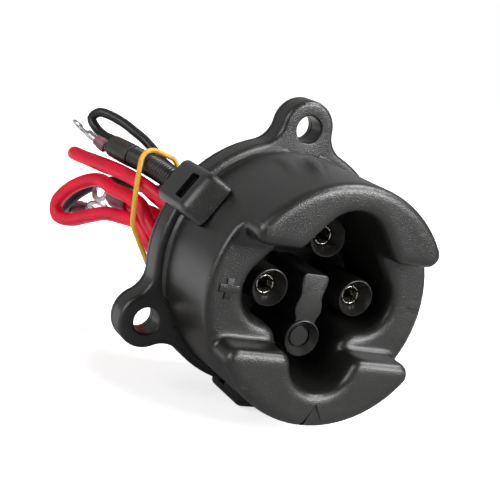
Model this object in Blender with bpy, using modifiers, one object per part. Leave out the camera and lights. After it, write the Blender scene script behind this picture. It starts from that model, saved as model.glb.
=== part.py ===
# Round keyed charge port inlet: flanged front housing, rear cover with snap
# latches, three socket contacts, and its wires folded up and held by a band.
# The origin is the middle of the rear mounting face. The port faces -Y.
import math

import bmesh
import bpy
import numpy as np
from mathutils import Matrix, Vector

MM = 0.001
GAP = 0.3 * MM                  # between pieces that touch

# Flange and ears
FLANGE_R = 31.7 * MM
FRONT_LAYER = 5.15 * MM
REAR_LAYER = 1.45 * MM
EAR_REACH = 35.0 * MM
EAR_R = 7.0 * MM
EAR_HOLE_R = 3.33 * MM
EAR_NECK_R = 6.5 * MM
EAR_ANGLES = (90, 210, 330)
FLANGE_EDGE = 1.2 * MM

# Body and lips
BODY_R = 29.14 * MM
LIP_R = 29.0 * MM
LAND_H = 24.5 * MM              # land above the flange's front face
LIP_H = 8.4 * MM                # lips above the land
TOP_LIP_Z = 12.0 * MM
BOTTOM_LIP_Z = -11.7 * MM
LIP_CORNER_R = 3.0 * MM
LIP_EDGE = 2.2 * MM
LAND_EDGE = 1.6 * MM
SCALLOP_R = 7.3 * MM
SCALLOP_H = 2.6 * MM

# Cavity, a clover of three round bays and one wide one
SIDE_X = 11.77 * MM
SIDE_BAY_R = 8.0 * MM
TOP_Z = 13.39 * MM
TOP_BAY_R = 9.05 * MM
BOTTOM_BAY_Z = -12.4 * MM
BOTTOM_BAY_R = 8.2 * MM
NECK_R = 5.0 * MM
FLOOR_H = 2.0 * MM              # cavity floor above the flange's front face
WALL = 2.5 * MM
BODY_WALL = 3.34 * MM           # body wall round the hollow
CORE_R = BODY_R - BODY_WALL
CORE_H = 20.0 * MM

# Posts, key tab and socket contacts
POST_R = 4.62 * MM
POST_H = 20.94 * MM
BLIND_Z = -11.31 * MM
BLIND_R = 2.4 * MM
BLIND_DEPTH = 1.6 * MM
POST_RIM = 0.4 * MM              # flat rim round each funnelled mouth
TAB_TOP_Z = 4.3 * MM
TAB_HALF_W = 3.25 * MM
TAB_WIDE = 3.9 * MM
TAB_CORNER = 1.2 * MM
TAB_WAIST_HALF_W = 2.95 * MM
TAB_FOOT_HALF_W = 2.7 * MM
TAB_DROP = 0.5 * MM
CONTACT_R = 2.3 * MM
CONTACT_BORE_R = 1.7 * MM
CONTACT_SINK = 2.8 * MM         # rim below the post's top
CONTACT_BORE = 16.0 * MM
COLLAR_R = 3.7 * MM
COLLAR_L = 1.6 * MM
SLOTS = 3                       # cuts right across the tube
SLOT_W = 0.5 * MM
SLOT_L = 8.0 * MM
CONTACT_TAIL = 9.0 * MM         # barrel behind the collar

# Marks on the land and the lower lip
GROOVE_W = 1.6 * MM
GROOVE_D = 0.8 * MM
GROOVE_X = 23.7 * MM
GROOVE_Z = -0.6 * MM
CROSS_X = -24.05 * MM
CROSS_Z = -0.4 * MM
CROSS_SPAN = 4.9 * MM
CROSS_W = 1.8 * MM
CROSS_H = 0.35 * MM
ARROW_TIP_Z = -23.1 * MM
ARROW_FOOT_Z = -28.2 * MM
ARROW_HALF_W = 2.9 * MM
ARROW_D = 0.4 * MM

# Snap latches
LATCH_ANGLES = (30, 150, 270)
LATCH_HALF_W = 5.8 * MM
LATCH_R = 34.6 * MM
LATCH_TOP = 8.2 * MM            # outer edge above the flange's front face
LATCH_FOOT = 12.2 * MM          # where the slope meets the body
LATCH_EDGE = 1.8 * MM
WINDOW_HALF_W = 3.4 * MM
WINDOW_LOW = 1.5 * MM
WINDOW_HIGH = 5.6 * MM
CATCH_HALF_W = 2.9 * MM
CATCH_HIGH = 3.5 * MM
CATCH_R = 33.4 * MM

# Back shell and its outlet
SHELL_R = 22.0 * MM
SHELL_WALL = 2.0 * MM
SHELL_DEPTH = 16.0 * MM
SHELL_EDGE = 1.5 * MM
OUTLET_X = -10.0 * MM
OUTLET_Z = 4.1 * MM
GROMMET_R = 7.6 * MM
RED_OUT_X = -11.2 * MM           # where the red wire leaves the grommet
RED_OUT_Z = 0.5 * MM
GROMMET_LIP = 0.9 * MM
GROMMET_LIP_L = 1.2 * MM
GROMMET_OUT_L = 3.0 * MM
GROMMET_FIT = 0.45 * MM

# Wires
RED_R = 2.0 * MM
THIN_R = 1.35 * MM
SHEATH_R = 3.1 * MM
SLEEVE_R = 3.2 * MM
SLEEVE_L = 9.0 * MM
BAND_R = 0.7 * MM
RING_R = 3.2 * MM
RING_HOLE_R = 1.8 * MM
RING_T = 0.8 * MM
BARREL_L = 6.0 * MM
BARREL_SHARE = 0.8              # crimped barrel against its wire
SHRINK_WALL = 0.4 * MM
SHRINK_FIT = 0.4 * MM
SHRINK_OVER = 4.0 * MM          # length of wire that a heat-shrink sleeve covers

# Planes along Y
FRONT = -(REAR_LAYER + GAP + FRONT_LAYER)
LAND = FRONT - LAND_H
LIP = LAND - LIP_H
FLOOR = FRONT - FLOOR_H
POST = FRONT - POST_H
RIM = POST + CONTACT_SINK
CORE = FRONT - CORE_H
CONTACT_TAIL_Y = FLOOR + WALL + GAP + COLLAR_L + CONTACT_TAIL

for old in list(bpy.data.objects):
    bpy.data.objects.remove(old, do_unlink=True)

part = bpy.data.collections.new("charge_port_inlet")
cutters = bpy.data.collections.new("cutters")
bpy.context.scene.collection.children.link(part)
bpy.context.scene.collection.children.link(cutters)


# Materials
def material(name, colour, rough, metal=0.0):
    m = bpy.data.materials.new(name)
    m.use_nodes = True
    bsdf = m.node_tree.nodes["Principled BSDF"]
    bsdf.inputs["Base Color"].default_value = (*colour, 1)
    bsdf.inputs["Roughness"].default_value = rough
    bsdf.inputs["Metallic"].default_value = metal
    m.diffuse_color = (*colour, 1)
    return m


# Outlines in the port's plane, as lists of (x, z)
def arc(cx, cz, r, a, b, step=6.0):
    n = max(2, int(math.ceil(abs(b - a) / step)))
    return [
        (cx + r * math.cos(math.radians(a + (b - a) * i / n)),
         cz + r * math.sin(math.radians(a + (b - a) * i / n)))
        for i in range(n + 1)
    ]


def around(c, p):
    return math.degrees(math.atan2(p[1] - c[1], p[0] - c[0]))


def touch_outside(c1, r1, c2, r2):
    # outward direction of the straight side from circle 1 to circle 2
    dx, dz = c2[0] - c1[0], c2[1] - c1[1]
    d = math.hypot(dx, dz)
    return math.degrees(math.atan2(dz, dx)) - math.degrees(math.acos((r1 - r2) / d))


def neck(c1, r1, c2, r2, r):
    # centre of the inward round that joins two circles, outside them
    dx, dz = c2[0] - c1[0], c2[1] - c1[1]
    d = math.hypot(dx, dz)
    a = ((r1 + r) ** 2 - (r2 + r) ** 2 + d * d) / (2 * d)
    h = math.sqrt(max((r1 + r) ** 2 - a * a, 0.0))
    return (c1[0] + (a * dx + h * dz) / d, c1[1] + (a * dz - h * dx) / d)


def clover(grow=0.0):
    top, left, low = (0.0, TOP_Z), (-SIDE_X, 0.0), (0.0, BOTTOM_BAY_Z)
    rt, rs, rb = TOP_BAY_R + grow, SIDE_BAY_R + grow, BOTTOM_BAY_R + grow
    rn = NECK_R - grow
    a = touch_outside(top, rt, left, rs) % 360
    n = neck(left, rs, low, rb, rn)
    side_end, low_start = around(left, n) % 360, around(low, n) % 360
    pts = arc(*top, rt, 90, a) + arc(*left, rs, a, side_end)
    pts += arc(*n, rn, around(n, left), around(n, low))[1:-1]
    pts += arc(*low, rb, low_start, 270)
    return pts[:-1] + [(-x, z) for x, z in reversed(pts)][:-1]


def flange():
    # round plate with an ear at each angle, blended in by inward rounds
    pts = []
    for deg in EAR_ANGLES:
        u = math.radians(deg)
        ear = (EAR_REACH * math.cos(u), EAR_REACH * math.sin(u))
        before = neck((0, 0), FLANGE_R, ear, EAR_R, EAR_NECK_R)
        half = (deg - around((0, 0), before)) % 360
        r = math.hypot(*before)
        v = math.radians(deg + half)
        after = (r * math.cos(v), r * math.sin(v))
        a, e = around(before, (0, 0)) % 360, around(before, ear) % 360
        pts += arc(*before, EAR_NECK_R, a, a - (a - e) % 360, 10)
        e1, e2 = around(ear, before), around(ear, after)
        pts += arc(*ear, EAR_R, e1, e1 + (e2 - e1) % 360, 10)[1:-1]
        a, e = around(after, ear) % 360, around(after, (0, 0)) % 360
        pts += arc(*after, EAR_NECK_R, a, a - (a - e) % 360, 10)
        pts += arc(0, 0, FLANGE_R, deg + half, deg + 120 - half)[1:-1]
    return pts


def lip(z, r, corner):
    # segment of the circle above z, its two corners rounded; z may be negative
    s = 1 if z > 0 else -1
    cz = abs(z) + corner
    cx = math.sqrt((r - corner) ** 2 - cz ** 2)
    a = math.degrees(math.atan2(cz, cx))
    right = arc(cx, cz, corner, -90, a, 15)
    pts = right + arc(0, 0, r, a, 180 - a, 5)[1:-1] + [(-x, q) for x, q in reversed(right)]
    return pts if s > 0 else [(x, -q) for x, q in reversed(pts)]


# Solids
def finish(obj, mat, target=part):
    target.objects.link(obj)
    if mat:
        obj.data.materials.append(mat)
    if target is cutters:
        obj.hide_render = True
        obj.display_type = "WIRE"
    return obj


def plain_mesh(obj, name, mat=None, target=cutters):
    # the evaluated object as a welded mesh object of its own
    holder = bpy.context.scene.collection
    if obj.name not in holder.all_objects:
        holder.objects.link(obj)
    bpy.context.view_layer.update()
    deps = bpy.context.evaluated_depsgraph_get()
    mesh = bpy.data.meshes.new_from_object(obj.evaluated_get(deps))
    mesh.transform(obj.matrix_world)
    bm = bmesh.new()
    bm.from_mesh(mesh)
    bmesh.ops.remove_doubles(bm, verts=bm.verts, dist=1e-6)
    bmesh.ops.dissolve_limit(bm, angle_limit=0.001, verts=bm.verts, edges=bm.edges)
    bmesh.ops.recalc_face_normals(bm, faces=bm.faces)
    bm.to_mesh(mesh)
    bm.free()
    mesh.materials.clear()
    bpy.data.objects.remove(obj, do_unlink=True)
    return finish(bpy.data.objects.new(name, mesh), mat, target)


def prism(name, loops, y0, y1, mat=None, target=cutters, frame=None):
    # flat outline with holes, from y0 back to y1 (y0 < y1)
    curve = bpy.data.curves.new(name, "CURVE")
    curve.dimensions = "2D"
    curve.fill_mode = "BOTH"
    curve.extrude = (y1 - y0) / 2
    for loop in loops:
        spline = curve.splines.new("POLY")
        spline.points.add(len(loop) - 1)
        for p, (x, z) in zip(spline.points, loop):
            p.co = (x, z, 0, 1)
        spline.use_cyclic_u = True
    obj = bpy.data.objects.new(name, curve)
    obj.matrix_world = (frame or Matrix()) @ Matrix.Translation((0, (y0 + y1) / 2, 0)) \
        @ Matrix.Rotation(math.pi / 2, 4, "X")
    return plain_mesh(obj, name, mat, target)


def rod(name, x, z, r, y0, y1, n=48, mat=None, target=cutters):
    return prism(name, [[(x + r * math.cos(2 * math.pi * i / n),
                          z + r * math.sin(2 * math.pi * i / n)) for i in range(n)]],
                 y0, y1, mat, target)


def round_front(obj, y, width, segments=3):
    # round the edges of the face that lies at y
    bm = bmesh.new()
    bm.from_mesh(obj.data)
    edges = [
        e for e in bm.edges
        if all(abs(v.co.y - y) < 1e-6 for v in e.verts)
        and any(abs(f.normal.y) < 0.5 for f in e.link_faces)
    ]
    bmesh.ops.bevel(bm, geom=edges, offset=width, segments=segments, profile=0.5,
                    affect="EDGES", material=-1)
    bm.to_mesh(obj.data)
    bm.free()
    return obj


def combine(obj, tool, how):
    mod = obj.modifiers.new(how.lower() + "_" + tool.name, "BOOLEAN")
    mod.operation = how
    mod.solver = "EXACT"
    mod.object = tool
    return obj


def turned(name, profile, steps, mat=None, target=part, at=(0, 0)):
    # (radius, y) points from the front end at the axis round to the back
    mesh = bpy.data.meshes.new(name)
    mesh.from_pydata([(r, 0, -y) for r, y in profile],
                     [(i, i + 1) for i in range(len(profile) - 1)], [])
    obj = finish(bpy.data.objects.new(name, mesh), mat, target)
    obj.location = (at[0], 0, at[1])
    obj.rotation_euler = (math.pi / 2, 0, 0)
    screw = obj.modifiers.new("screw", "SCREW")
    screw.steps = screw.render_steps = steps
    screw.use_merge_vertices = True
    screw.merge_threshold = 0.0001
    return obj


def shade(obj):
    obj.data.shade_smooth()
    obj.data.set_sharp_from_angle(angle=math.radians(35))


plastic = material("black_plastic", (0.030, 0.029, 0.028), 0.45)
cover_plastic = material("cover_plastic", (0.030, 0.029, 0.028), 0.48)
contact_metal = material("contact_metal", (0.75, 0.72, 0.66), 0.25, 1.0)
terminal_metal = material("tinned_copper", (0.72, 0.72, 0.73), 0.3, 1.0)
rubber = material("black_rubber", (0.02, 0.02, 0.02), 0.8)
red_skin = material("red_insulation", (0.78, 0.0, 0.03), 0.35)
black_skin = material("black_insulation", (0.02, 0.02, 0.022), 0.4)
sheath_skin = material("sheath_plastic", (0.035, 0.034, 0.03), 0.5)
shrink = material("maroon_shrink", (0.16, 0.05, 0.07), 0.5)
band_rubber = material("yellow_rubber", (0.75, 0.38, 0.02), 0.5)

# Front housing: flange, body and the two lips joined
flange_outline = flange()
housing = prism("front_housing", [flange_outline], FRONT, -(REAR_LAYER + GAP), plastic, part)
round_front(housing, FRONT, FLANGE_EDGE)
body = rod("body_round", 0, 0, BODY_R, LAND, FRONT + FRONT_LAYER / 2, 96)
round_front(body, LAND, LAND_EDGE)
combine(housing, body, "UNION")
for side, z in (("top", TOP_LIP_Z), ("bottom", BOTTOM_LIP_Z)):
    tool = prism(side + "_lip", [lip(z, LIP_R, LIP_CORNER_R)], LIP, LAND + 4 * MM)
    round_front(tool, LIP, LIP_EDGE)
    combine(housing, tool, "UNION")

# Raised cross on the left land
for way, (h, w) in (("across", (CROSS_SPAN / 2, CROSS_W / 2)), ("up", (CROSS_W / 2, CROSS_SPAN / 2))):
    bar = [(CROSS_X - h, CROSS_Z - w), (CROSS_X + h, CROSS_Z - w),
           (CROSS_X + h, CROSS_Z + w), (CROSS_X - h, CROSS_Z + w)]
    combine(housing, prism("cross_" + way, [bar], LAND - CROSS_H, LAND + 1 * MM), "UNION")

# Screw-head scallops at the ears
for deg in EAR_ANGLES:
    u = math.radians(deg)
    x, z = EAR_REACH * math.cos(u), EAR_REACH * math.sin(u)
    scallop = rod(f"scallop_{deg}", x, z, SCALLOP_R, FRONT - SCALLOP_H, FRONT - 0.02 * MM)
    round_front(scallop, FRONT - SCALLOP_H, SCALLOP_H * 0.6, 2)
    combine(housing, scallop, "DIFFERENCE")

# Keyed cavity, and the hollow behind it that leaves an even wall
cavity = prism("cavity", [clover()], LIP - 5 * MM, FLOOR)
combine(housing, cavity, "DIFFERENCE")
core = rod("core", 0, 0, CORE_R, CORE, 5 * MM, 96)
tub = prism("tub", [clover(WALL)], CORE - 5 * MM, FLOOR + WALL)
combine(core, tub, "DIFFERENCE")
combine(housing, core, "DIFFERENCE")

# Posts and key tab
post_places = {"left": (-SIDE_X, 0.0), "top": (0.0, TOP_Z), "right": (SIDE_X, 0.0)}
for side, (x, z) in {**post_places, "blind": (0.0, BLIND_Z)}.items():
    combine(housing, rod("post_" + side, x, z, POST_R, POST, FLOOR + WALL / 2), "UNION")
key = [
    (TAB_HALF_W - TAB_CORNER, TAB_TOP_Z), (TAB_HALF_W, TAB_TOP_Z - TAB_CORNER),
    (TAB_HALF_W, TAB_TOP_Z - 3.3 * MM), (TAB_WAIST_HALF_W, TAB_TOP_Z - 4.8 * MM),
    (TAB_WIDE, TAB_TOP_Z - 8.3 * MM), (TAB_FOOT_HALF_W, TAB_TOP_Z - 11.5 * MM),
    (TAB_FOOT_HALF_W, BLIND_Z),
]
key_tab = prism("key_tab", [key + [(-x, z) for x, z in reversed(key)]], POST + TAB_DROP,
                FLOOR + WALL / 2)
combine(housing, key_tab, "UNION")
for side, (x, z) in {**post_places, "blind": (0.0, BLIND_Z)}.items():
    blind = side == "blind"
    inner, depth = (BLIND_R, BLIND_DEPTH) if blind else (CONTACT_R + GAP, CONTACT_SINK)
    mouth = POST_R - POST_RIM
    bore = turned("bore_" + side, [
        (0, POST - 2 * MM), (mouth, POST - 2 * MM), (mouth, POST), (inner, POST + depth),
    ] + ([] if blind else [(inner, 5 * MM)]) + [(0, POST + depth if blind else 5 * MM)],
        48, None, cutters, (x, z))
    combine(housing, plain_mesh(bore, "funnel_" + side), "DIFFERENCE")

# Ear holes
for deg in EAR_ANGLES:
    u = math.radians(deg)
    x, z = EAR_REACH * math.cos(u), EAR_REACH * math.sin(u)
    combine(housing, rod(f"ear_hole_{deg}", x, z, EAR_HOLE_R, FRONT - 5 * MM, 5 * MM),
            "DIFFERENCE")

# Groove on the right land, arrow on the lower lip
slot = [(GROOVE_X, GROOVE_Z - GROOVE_W / 2), (BODY_R + 2 * MM, GROOVE_Z - GROOVE_W / 2),
        (BODY_R + 2 * MM, GROOVE_Z + GROOVE_W / 2), (GROOVE_X, GROOVE_Z + GROOVE_W / 2)]
combine(housing, prism("groove", [slot], LAND - 5 * MM, LAND + GROOVE_D), "DIFFERENCE")
arrow = [(-ARROW_HALF_W, ARROW_FOOT_Z), (ARROW_HALF_W, ARROW_FOOT_Z), (0, ARROW_TIP_Z)]
combine(housing, prism("arrow", [arrow], LIP - 5 * MM, LIP + ARROW_D), "DIFFERENCE")


# Catches on the body, one in each latch window
def radial(deg):
    # local x outward, y along the port, z sideways
    return Matrix.Rotation(math.radians(-deg), 4, "Y")


def sideways(name, outline, half_w, deg):
    # outline of (radius, y) points, half_w to each side
    frame = radial(deg) @ Matrix.Rotation(-math.pi / 2, 4, "X")
    return prism(name, [outline], -half_w, half_w, frame=frame)


def round_latch(obj, deg, width):
    # round the outer face's top edge and the long edges beside it and the slope
    back = radial(deg).inverted()
    bm = bmesh.new()
    bm.from_mesh(obj.data)

    def outer(v):
        p = back @ v.co
        return p.x > LATCH_R - 0.01 * MM or p.y < FRONT - LATCH_FOOT + 0.01 * MM

    def ends(e):
        p, q = (back @ v.co for v in e.verts)
        return abs(p.y - q.y) < 1e-6 and abs(p.y - (FRONT - LATCH_TOP)) > 1e-6

    edges = [e for e in bm.edges if all(outer(v) for v in e.verts) and not ends(e)
             and e.calc_face_angle(0) > 0.1]
    bmesh.ops.bevel(bm, geom=edges, offset=width, segments=3, profile=0.5, affect="EDGES",
                    material=-1)
    bm.to_mesh(obj.data)
    bm.free()
    return obj


for deg in LATCH_ANGLES:
    wedge = [
        (BODY_R - 1.5 * MM, FRONT - WINDOW_LOW - GAP), (CATCH_R, FRONT - WINDOW_LOW - GAP),
        (CATCH_R, FRONT - WINDOW_LOW - GAP - 0.5 * MM), (BODY_R - 1.5 * MM, FRONT - CATCH_HIGH - 1 * MM),
    ]
    combine(housing, sideways(f"catch_{deg}", wedge, CATCH_HALF_W, deg), "UNION")

# Rear cover: plate, back shell and three latch arms joined
holes = [arc(0, 0, SHELL_R - SHELL_WALL / 2, 360, 0, 5)[:-1]]
for deg in EAR_ANGLES:
    u = math.radians(deg)
    holes.append(arc(EAR_REACH * math.cos(u), EAR_REACH * math.sin(u), EAR_HOLE_R, 360, 0, 10)[:-1])
cover = prism("rear_cover", [flange_outline] + holes, -REAR_LAYER, 0, cover_plastic, part)
shell = turned("back_shell", [
    (0, SHELL_DEPTH - SHELL_WALL), (SHELL_R - SHELL_WALL, SHELL_DEPTH - SHELL_WALL),
    (SHELL_R - SHELL_WALL, -REAR_LAYER / 2), (SHELL_R, -REAR_LAYER / 2),
    (SHELL_R, SHELL_DEPTH - SHELL_EDGE), (SHELL_R - SHELL_EDGE, SHELL_DEPTH), (0, SHELL_DEPTH),
], 72, None, cutters)
combine(cover, plain_mesh(shell, "back_shell_solid"), "UNION")
for deg in LATCH_ANGLES:
    inner, rim = BODY_R + GAP, FLANGE_R + GAP
    arm = [
        (rim - 4 * MM, -REAR_LAYER * 0.9), (rim - 4 * MM, -0.1 * MM), (LATCH_R, -0.1 * MM),
        (LATCH_R, FRONT - LATCH_TOP), (inner, FRONT - LATCH_FOOT), (inner, FRONT - GAP),
        (rim, FRONT - GAP), (rim, -REAR_LAYER * 0.9),
    ]
    tool = round_latch(sideways(f"latch_{deg}", arm, LATCH_HALF_W, deg), deg, LATCH_EDGE)
    window = [
        (BODY_R - 3 * MM, FRONT - WINDOW_LOW), (LATCH_R + 3 * MM, FRONT - WINDOW_LOW),
        (LATCH_R + 3 * MM, FRONT - WINDOW_HIGH), (BODY_R - 3 * MM, FRONT - WINDOW_HIGH),
    ]
    combine(tool, sideways(f"window_{deg}", window, WINDOW_HALF_W, deg), "DIFFERENCE")
    combine(cover, tool, "UNION")
combine(cover, rod("outlet", OUTLET_X, OUTLET_Z, GROMMET_R + GAP, 5 * MM, 30 * MM), "DIFFERENCE")

# Socket contacts: split tube, collar and tail
for side, at in post_places.items():
    collar = FLOOR + WALL + GAP
    contact = turned("contact_" + side, [
        (0, RIM + CONTACT_BORE), (CONTACT_BORE_R, RIM + CONTACT_BORE),
        (CONTACT_BORE_R, RIM), (CONTACT_R, RIM), (CONTACT_R, collar), (COLLAR_R, collar),
        (COLLAR_R, collar + COLLAR_L), (CONTACT_R, collar + COLLAR_L),
        (CONTACT_R, CONTACT_TAIL_Y), (0, CONTACT_TAIL_Y),
    ], 24, contact_metal, part, at)
    for turn in range(0, 180, 180 // SLOTS):
        c, s = math.cos(math.radians(turn)), math.sin(math.radians(turn))
        half = [(u * SLOT_W / 2, v * CONTACT_R * 2) for u, v in ((1, 1), (-1, 1), (-1, -1), (1, -1))]
        blade = prism(f"slot_{side}_{turn}",
                      [[(at[0] + c * x - s * z, at[1] + s * x + c * z) for x, z in half]],
                      RIM - 2 * MM, RIM + SLOT_L)
        combine(contact, blade, "DIFFERENCE")


# Wires
def mix(a, b, share):
    return (1 - share) * a + share * b


def smooth_route(points, step):
    # smooth curve through the points, read at even steps
    p = np.array(points, float) * MM
    p = np.vstack([2 * p[0] - p[1], p, 2 * p[-1] - p[-2]])
    t = np.concatenate([[0], np.cumsum(np.sqrt(np.linalg.norm(np.diff(p, axis=0), axis=1)))])
    fine = []
    for i in range(1, len(p) - 2):
        for s in np.linspace(t[i], t[i + 1], 24, endpoint=False):
            a = [mix(p[j], p[j + 1], (s - t[j]) / (t[j + 1] - t[j])) for j in (i - 1, i, i + 1)]
            b = [mix(a[j - i], a[j - i + 1], (s - t[j - 1]) / (t[j + 1] - t[j - 1])) for j in (i, i + 1)]
            fine.append(mix(b[0], b[1], (s - t[i]) / (t[i + 1] - t[i])))
    fine = np.array(fine + [p[-2]])
    run = np.concatenate([[0], np.cumsum(np.linalg.norm(np.diff(fine, axis=0), axis=1))])
    at = np.linspace(0, run[-1], max(3, int(round(run[-1] / step)) + 1))
    return np.stack([np.interp(at, run, fine[:, k]) for k in range(3)], axis=1)


def tube(name, line, r, mat, cyclic=False):
    curve = bpy.data.curves.new(name, "CURVE")
    curve.dimensions = "3D"
    curve.bevel_depth = r
    curve.bevel_resolution = 2
    curve.use_fill_caps = not cyclic
    spline = curve.splines.new("POLY")
    spline.points.add(len(line) - 1)
    for p, q in zip(spline.points, line):
        p.co = (*q, 1)
    spline.use_cyclic_u = cyclic
    return finish(bpy.data.objects.new(name, curve), mat)


OUT = SHELL_DEPTH / MM
TAIL = CONTACT_TAIL_Y / MM + 0.35
red_route = [
    (-SIDE_X / MM, TAIL, 0), (-SIDE_X / MM, TAIL + 3.0, 0), (-11.4, OUT - 5, 0.4),
    (RED_OUT_X / MM, OUT - 2.5, RED_OUT_Z / MM), (RED_OUT_X / MM, OUT + 0.2, RED_OUT_Z / MM),
    (RED_OUT_X / MM, OUT + 3.2, RED_OUT_Z / MM),
    (-12.6, OUT + 7.5, 2.0), (-16.2, OUT + 12.5, 4.8), (-19.4, OUT + 17, 6.6),
    (-21.6, OUT + 22, 7.6), (-23.8, OUT + 27.5, 8.2), (-25.9, OUT + 34, 8.3),
    (-27.8, OUT + 41, 8.0), (-29.4, OUT + 46, 7.8), (-30.9, OUT + 50, 7.8),
    (-30.0, OUT + 53.6, 7.3), (-26.4, OUT + 53.4, 6.5), (-23.0, OUT + 49, 6.0),
    (-20.6, OUT + 41.5, 6.3), (-18.7, OUT + 34, 6.3), (-17.4, OUT + 28, 5.8),
    (-16.6, OUT + 22, 4.8), (-14.0, OUT + 17.5, 3.0), (-12.0, OUT + 13.5, 0.0),
    (-12.9, OUT + 10.4, -3.4), (-16.2, OUT + 10.8, -4.8), (-19.0, OUT + 15, -2.0),
    (-20.4, OUT + 20, 1.6), (-21.7, OUT + 26, 2.4), (-23.6, OUT + 34, 2.3), (-25.4, OUT + 42, 2.8),
    (-28.4, OUT + 47.4, 0.3), (-31.0, OUT + 51.8, -4.0), (-32.2, OUT + 53.9, -8.2),
    (-31.7, OUT + 52.4, -11.3), (-29.4, OUT + 47.5, -11.0), (-26.9, OUT + 40, -7.6),
    (-24.6, OUT + 34, -4.9), (-22.0, OUT + 28, -3.9), (-19.6, OUT + 22, -3.7),
    (-17.4, OUT + 17, -7.0), (-14.6, OUT + 12.8, -10.2), (-10.6, OUT + 11.4, -9.2),
    (-9.4, OUT + 14.5, -6.0), (-11.8, OUT + 19, -2.6), (-14.2, OUT + 23.5, -1.0),
    (-16.2, OUT + 29, -1.2), (-18.0, OUT + 34.5, -1.3), (-19.4, OUT + 37.6, -1.2),
]
signal_route = [
    (-23.2, OUT + 39.9, 14.5), (-23.9, OUT + 42.5, 14.8), (-25.2, OUT + 46, 15.0),
    (-26.7, OUT + 49.8, 16.2), (-27.9, OUT + 52.2, 18.5), (-26.8, OUT + 50.1, 20.8),
    (-24.5, OUT + 47.1, 20.9), (-21.4, OUT + 43.1, 19.9), (-19.2, OUT + 39.1, 18.6),
    (-17.3, OUT + 35.1, 17.3), (-15.4, OUT + 31.1, 15.3), (-13.9, OUT + 27.1, 13.4),
    (-12.2, OUT + 21, 12.2), (-9.6, OUT + 15, 11.6), (-6.2, OUT + 11.2, 9.6),
    (-5.0, OUT + 12.2, 6.0), (-7.2, OUT + 17, 5.0), (-10.8, OUT + 21.5, 6.8),
    (-12.4, OUT + 26, 6.0), (-13.0, OUT + 31, 4.4), (-14.6, OUT + 36, 3.6), (-17.0, OUT + 42, 3.0),
    (-20.0, OUT + 48, 1.9), (-22.2, OUT + 50.7, 0.0), (-23.9, OUT + 53.2, -2.3),
    (-25.5, OUT + 55.5, -4.8), (-26.9, OUT + 57.3, -7.6), (-27.6, OUT + 59.6, -10.4),
    (-26.4, OUT + 62.4, -11.4), (-24.2, OUT + 62.6, -10.8), (-23.2, OUT + 60.2, -10.0),
]
black_lead_route = [
    (0, TAIL, TOP_Z / MM), (0, TAIL + 1.8, TOP_Z / MM), (-1.6, OUT - 7.8, 12.8),
    (-5.4, OUT - 7, 10.6), (-8.2, OUT - 6.4, 8.8), (-8.7, OUT - 5.1, 8.4), (-8.7, OUT - 3.5, 8.4),
]
signal_lead_route = [
    (SIDE_X / MM, TAIL, 0), (SIDE_X / MM, TAIL + 1.8, 0), (10.2, OUT - 7.4, 0.6),
    (4.5, OUT - 6.6, 2.4), (-4.0, OUT - 6.8, 4.6), (-9.2, OUT - 6.4, 5.6), (-10.9, OUT - 5.1, 6.1),
    (-10.9, OUT - 3.5, 6.2),
]
sheath_route = [
    (-9.8, OUT - 3.1, 7.3), (-9.8, OUT, 7.3), (-9.8, OUT + 3.8, 7.3), (-11.5, OUT + 8.5, 8.7),
    (-15.0, OUT + 14.5, 10.8), (-18.0, OUT + 21.5, 12.1), (-20.2, OUT + 27.5, 12.7),
    (-21.3, OUT + 30.4, 12.9),
]
red_line = smooth_route(red_route, 2.6 * RED_R)
signal_line = smooth_route(signal_route, 3.0 * THIN_R)
sheath_line = smooth_route(sheath_route, 1.6 * SHEATH_R)
tube("red_wire", red_line, RED_R, red_skin)
tube("signal_wire", signal_line, THIN_R, black_skin)
tube("wire_sheath", sheath_line, SHEATH_R, sheath_skin)
tube("black_lead", smooth_route(black_lead_route, 1.2 * THIN_R), THIN_R, black_skin)
tube("signal_lead", smooth_route(signal_lead_route, 1.2 * THIN_R), THIN_R, black_skin)


def along(start, direction):
    # local y runs along the direction, z as near up as it goes
    y = Vector(direction).normalized()
    x = y.cross(Vector((0, 0, 1))).normalized()
    z = x.cross(y)
    m = Matrix((x, y, z)).transposed().to_4x4()
    m.translation = Vector(start)
    return m


def circle(x, z, r, n, back=False):
    pts = [(x + r * math.cos(2 * math.pi * i / n), z + r * math.sin(2 * math.pi * i / n))
           for i in range(n)]
    return pts[::-1] if back else pts


# Smooth sleeve at the sheath's end
way = sheath_line[-1] - sheath_line[-2]
way = Vector(way / np.linalg.norm(way))
sleeve_start = Vector(sheath_line[-1]) + way * GAP
prism("sheath_end_sleeve", [circle(0, 0, SLEEVE_R, 24)], 0, SLEEVE_L, sheath_skin, part,
      along(sleeve_start, way))


# Ring terminals with crimp barrels, and the heat-shrink sleeves over them
def terminal(name, start, direction, wire_r, up, barrel_l=BARREL_L):
    frame = along(start, direction)
    barrel = prism(name, [circle(0, 0, wire_r * BARREL_SHARE, 16)], GAP, barrel_l,
                   terminal_metal, part, frame)
    y = Vector(direction).normalized()
    n = (Vector(up) - y * Vector(up).dot(y)).normalized()
    x = y.cross(n)
    tongue = Matrix((x, n, y)).transposed().to_4x4()
    tongue.translation = Vector(start)
    far = barrel_l + RING_R * 0.85
    w = wire_r * 0.7
    plate = [(w, barrel_l - 1.5 * MM)] + [
        (x0, z0) for x0, z0 in arc(0, far, RING_R, -60, 240, 15)
    ] + [(-w, barrel_l - 1.5 * MM)]
    tool = prism(name + "_tongue", [plate, circle(0, far, RING_HOLE_R, 20, True)],
                 -RING_T / 2, RING_T / 2, None, cutters, tongue)
    return combine(barrel, tool, "UNION")


def heat_shrink(name, start, direction, inner, before, after):
    frame = along(start, direction)
    return prism(name, [circle(0, 0, inner + SHRINK_WALL, 20), circle(0, 0, inner, 20, True)],
                 -before, after, shrink, part, frame)


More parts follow.
